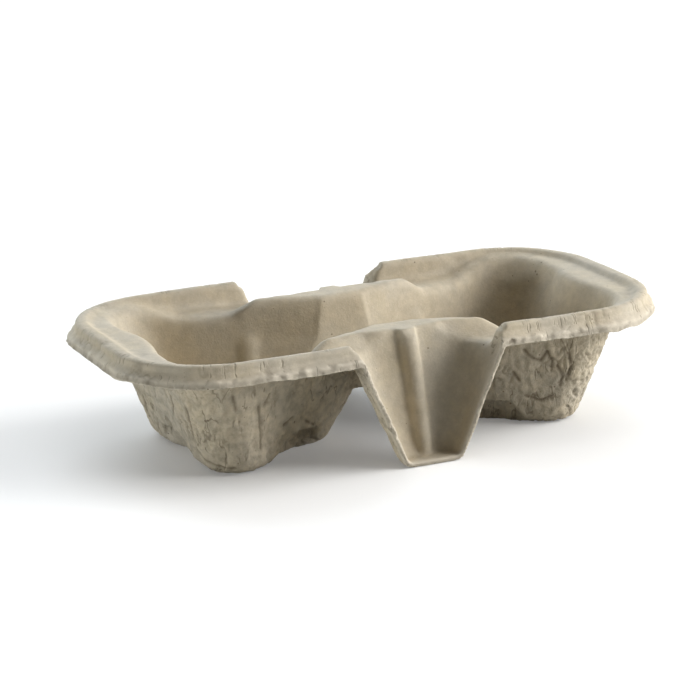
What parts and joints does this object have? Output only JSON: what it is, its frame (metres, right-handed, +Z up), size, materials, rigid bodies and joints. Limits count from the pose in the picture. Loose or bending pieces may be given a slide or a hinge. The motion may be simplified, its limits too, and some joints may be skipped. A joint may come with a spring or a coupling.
{
  "type": "moulded pulp cup carrier tray",
  "caption": "Moulded pulp carrier tray with wells for drinks cups on either side of a bridge, a flared rim and a finger trough in each long side.",
  "frame": {"origin": "middle of the footprint, on the surface that the tray stands on", "axes": "+X along the tray through both wells, +Y across it from one finger trough to the other, +Z up out of the wells"},
  "size_m": [0.215, 0.1066, 0.046],
  "materials": {
    "pulp": "matte"
  },
  "bodies": {
    "root": {"carrier_tray": "pulp"}
  },
  "joints": []
}
